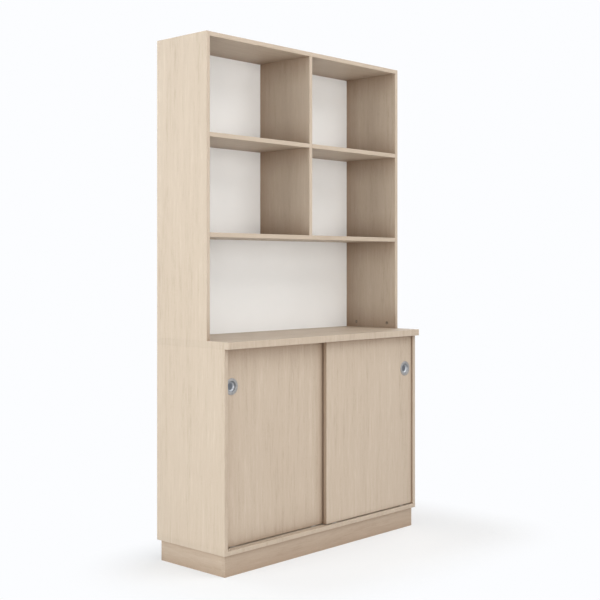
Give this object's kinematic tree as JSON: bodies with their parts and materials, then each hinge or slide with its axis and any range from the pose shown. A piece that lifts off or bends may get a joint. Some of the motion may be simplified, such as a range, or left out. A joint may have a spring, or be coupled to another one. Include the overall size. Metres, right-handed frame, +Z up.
{
  "type": "bookcase with sliding doors",
  "caption": "Tall free-standing bookcase: open hutch with compartments above a counter and a low cabinet closed by sliding doors on a recessed plinth.",
  "frame": {"origin": "on the floor, in the middle of the footprint (bounding box of the whole bookcase)", "axes": "+X to the right seen from the front, the front faces -Y, +Z up"},
  "size_m": [1.2, 0.425, 2.109],
  "materials": {
    "oak_board": "melamine faced board in pale oak, fine vertical grain, satin",
    "white_back": "thin hardboard, white lacquered, satin",
    "satin_aluminium": "satin",
    "zinc_alloy": "die cast, dull",
    "bright_steel": "zinc plated, bright",
    "track_plastic": "beige, matt",
    "housing_plastic": "grey, matt",
    "wheel_nylon": "off-white, satin"
  },
  "bodies": {
    "cabinet": {"plinth_front": "oak_board", "plinth_rear": "oak_board", "plinth_left": "oak_board", "plinth_right": "oak_board", "lower_bottom": "oak_board", "lower_side_left": "oak_board", "lower_side_right": "oak_board", "lower_partition": "oak_board", "countertop": "oak_board", "lower_back": "white_back", "loose_shelf_left": "oak_board", "loose_shelf_right": "oak_board", "shelf_pin_left_a1": "bright_steel", "shelf_pin_left_a2": "bright_steel", "shelf_pin_left_b1": "bright_steel", "shelf_pin_left_b2": "bright_steel", "shelf_pin_right_a1": "bright_steel", "shelf_pin_right_a2": "bright_steel", "shelf_pin_right_b1": "bright_steel", "shelf_pin_right_b2": "bright_steel", "lower_track_front": "track_plastic", "lower_track_rear": "track_plastic", "upper_track_front": "track_plastic", "upper_track_rear": "track_plastic", "hutch_side_left": "oak_board", "hutch_side_right": "oak_board", "hutch_top": "oak_board", "hutch_long_shelf": "oak_board", "hutch_divider": "oak_board", "hutch_cell_shelf_left": "oak_board", "hutch_cell_shelf_right": "oak_board", "hutch_back": "white_back", "cam_left_1": "zinc_alloy", "cam_left_2": "zinc_alloy", "cam_right_1": "zinc_alloy", "cam_right_2": "zinc_alloy", "cam_bolt_left_1": "bright_steel", "cam_bolt_left_2": "bright_steel", "cam_bolt_right_1": "bright_steel", "cam_bolt_right_2": "bright_steel"},
    "left_door": {"left_door_panel": "oak_board", "left_door_pull": "satin_aluminium", "left_door_roller_housing_1": "housing_plastic", "left_door_roller_housing_2": "housing_plastic", "left_door_roller_axle_1": "bright_steel", "left_door_roller_axle_2": "bright_steel", "left_door_top_guide_1": "housing_plastic", "left_door_top_guide_2": "housing_plastic"},
    "right_door": {"right_door_panel": "oak_board", "right_door_pull": "satin_aluminium", "right_door_roller_housing_1": "housing_plastic", "right_door_roller_housing_2": "housing_plastic", "right_door_roller_axle_1": "bright_steel", "right_door_roller_axle_2": "bright_steel", "right_door_top_guide_1": "housing_plastic", "right_door_top_guide_2": "housing_plastic"},
    "left_wheel_1": {"left_door_roller_wheel_1": "wheel_nylon"},
    "left_wheel_2": {"left_door_roller_wheel_2": "wheel_nylon"},
    "right_wheel_1": {"right_door_roller_wheel_1": "wheel_nylon"},
    "right_wheel_2": {"right_door_roller_wheel_2": "wheel_nylon"}
  },
  "joints": [
    {"name": "left_door_slide", "type": "slide", "parent": "cabinet", "child": "left_door", "axis": [1, 0, 0], "range_m": [0, 0.574]},
    {"name": "right_door_slide", "type": "slide", "parent": "cabinet", "child": "right_door", "axis": [1, 0, 0], "range_m": [-0.574, 0]},
    {"name": "left_wheel_1_spin", "type": "hinge", "parent": "left_door", "child": "left_wheel_1", "pos_m": [-0.52, -0.1495, 0.1096], "axis": [0, 1, 0], "continuous": true},
    {"name": "left_wheel_2_spin", "type": "hinge", "parent": "left_door", "child": "left_wheel_2", "pos_m": [-0.054, -0.1495, 0.1096], "axis": [0, 1, 0], "continuous": true},
    {"name": "right_wheel_1_spin", "type": "hinge", "parent": "right_door", "child": "right_wheel_1", "pos_m": [0.054, -0.1735, 0.1096], "axis": [0, 1, 0], "continuous": true},
    {"name": "right_wheel_2_spin", "type": "hinge", "parent": "right_door", "child": "right_wheel_2", "pos_m": [0.52, -0.1735, 0.1096], "axis": [0, 1, 0], "continuous": true}
  ],
  "couplings": [
    {"joint": "left_wheel_1_spin", "follows": "left_door_slide", "rad_per_m": 71.429},
    {"joint": "left_wheel_2_spin", "follows": "left_door_slide", "rad_per_m": 71.429},
    {"joint": "right_wheel_1_spin", "follows": "right_door_slide", "rad_per_m": 71.429},
    {"joint": "right_wheel_2_spin", "follows": "right_door_slide", "rad_per_m": 71.429}
  ]
}
